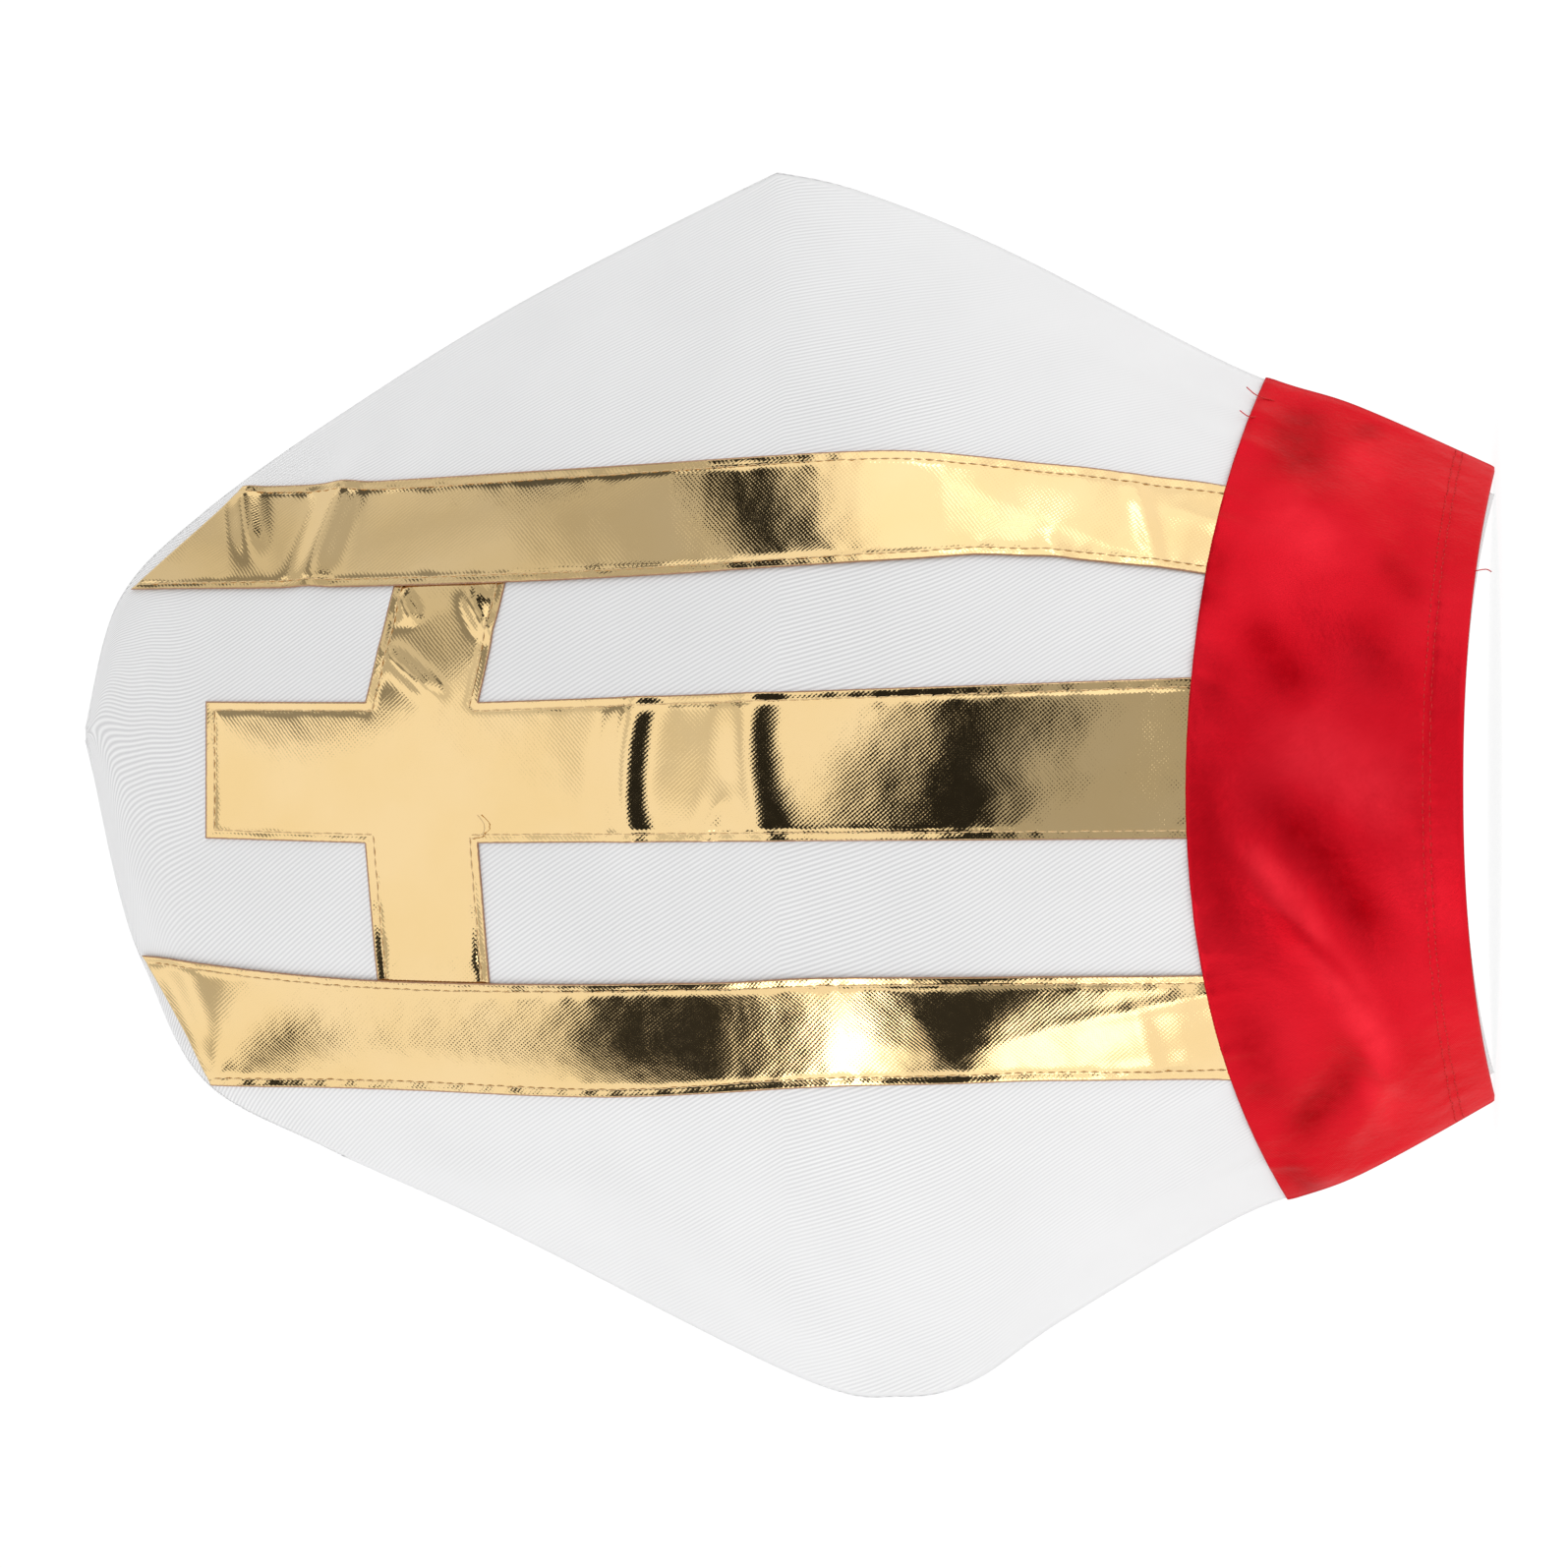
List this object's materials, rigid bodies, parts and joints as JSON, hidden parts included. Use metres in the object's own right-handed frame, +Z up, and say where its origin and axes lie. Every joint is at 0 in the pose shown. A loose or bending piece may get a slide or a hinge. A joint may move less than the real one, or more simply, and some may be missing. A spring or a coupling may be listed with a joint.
{
  "type": "bishop's mitre costume hat",
  "caption": "Soft puffed bishop's mitre in white twill with a gold foil cross, gold side stripes and a red satin rim band, standing open on its rim.",
  "frame": {"origin": "on the surface the hat stands on, under the middle of its bounding box", "axes": "+Z up from the rim to the tip, -Y out of the front with the cross, +X to the right of a viewer facing that front"},
  "size_m": [0.3365, 0.185, 0.3866],
  "materials": {
    "white_twill": "matt polyester twill",
    "foam": "matt",
    "lining": "matt plain weave",
    "gold_foil": "metallic foil on woven cloth",
    "red_satin": "glossy satin",
    "tan_thread": "twisted thread",
    "red_thread": "twisted thread"
  },
  "bodies": {
    "root": {"front_shell": "white_twill", "back_shell": "white_twill", "front_foam": "foam", "back_foam": "foam", "front_lining": "lining", "back_lining": "lining", "front_band": "red_satin", "back_band": "red_satin", "cross_applique": "gold_foil", "left_stripe": "gold_foil", "right_stripe": "gold_foil", "cross_stitches": "tan_thread", "left_stripe_stitches": "tan_thread", "right_stripe_stitches": "tan_thread", "hem_stitches_1": "red_thread", "hem_stitches_2": "red_thread"}
  },
  "joints": []
}
